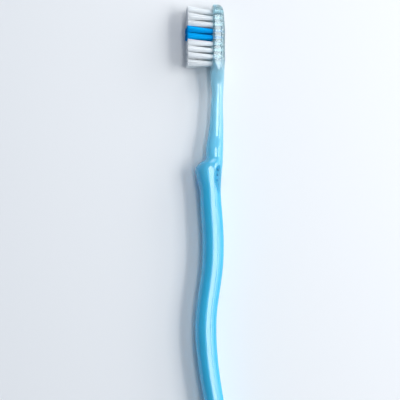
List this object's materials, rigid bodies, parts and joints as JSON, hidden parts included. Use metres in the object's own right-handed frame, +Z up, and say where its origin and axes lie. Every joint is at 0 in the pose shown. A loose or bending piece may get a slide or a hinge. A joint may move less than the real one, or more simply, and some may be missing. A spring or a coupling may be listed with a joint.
{
  "type": "manual toothbrush",
  "caption": "Manual toothbrush with a wavy translucent moulded handle, a thumb rest with grip pips, and a narrow head of white and blue nylon tufts held by wire anchors.",
  "frame": {"origin": "centre of the part's footprint, on the surface that the handle's lower side flat rests on", "axes": "+Y along the brush towards the tip of the head, -X the way the bristles point, +Z up across the width of the brush, which lies on its side"},
  "size_m": [0.0172, 0.1872, 0.0112],
  "materials": {
    "handle_plastic": "moulded clear tinted plastic, polished",
    "white_nylon": "drawn nylon filament, satin",
    "blue_nylon": "drawn nylon filament, dyed blue, satin",
    "anchor_wire": "cut flat wire, bright"
  },
  "bodies": {
    "root": {"handle": "handle_plastic", "anchors_row_1": "anchor_wire", "anchors_row_2": "anchor_wire", "anchors_row_3": "anchor_wire", "anchors_row_4": "anchor_wire", "anchors_row_5": "anchor_wire", "anchors_row_6": "anchor_wire", "anchors_row_7": "anchor_wire", "anchors_row_8": "anchor_wire", "anchors_row_9": "anchor_wire", "white_tuft_1_1": "white_nylon", "white_tuft_1_2": "white_nylon", "white_tuft_1_3": "white_nylon", "white_tuft_2_1": "white_nylon", "white_tuft_2_2": "white_nylon", "white_tuft_2_3": "white_nylon", "white_tuft_2_4": "white_nylon", "white_tuft_3_1": "white_nylon", "white_tuft_3_2": "white_nylon", "white_tuft_3_3": "white_nylon", "white_tuft_3_4": "white_nylon", "indicator_tuft_4_1": "blue_nylon", "indicator_tuft_4_2": "blue_nylon", "indicator_tuft_4_3": "blue_nylon", "indicator_tuft_4_4": "blue_nylon", "indicator_tuft_5_1": "blue_nylon", "indicator_tuft_5_2": "blue_nylon", "indicator_tuft_5_3": "blue_nylon", "indicator_tuft_5_4": "blue_nylon", "white_tuft_6_1": "white_nylon", "white_tuft_6_2": "white_nylon", "white_tuft_6_3": "white_nylon", "white_tuft_6_4": "white_nylon", "white_tuft_7_1": "white_nylon", "white_tuft_7_2": "white_nylon", "white_tuft_7_3": "white_nylon", "white_tuft_7_4": "white_nylon", "white_tuft_8_1": "white_nylon", "white_tuft_8_2": "white_nylon", "white_tuft_8_3": "white_nylon", "white_tuft_8_4": "white_nylon", "white_tuft_9_1": "white_nylon", "white_tuft_9_2": "white_nylon", "white_tuft_9_3": "white_nylon"}
  },
  "joints": []
}
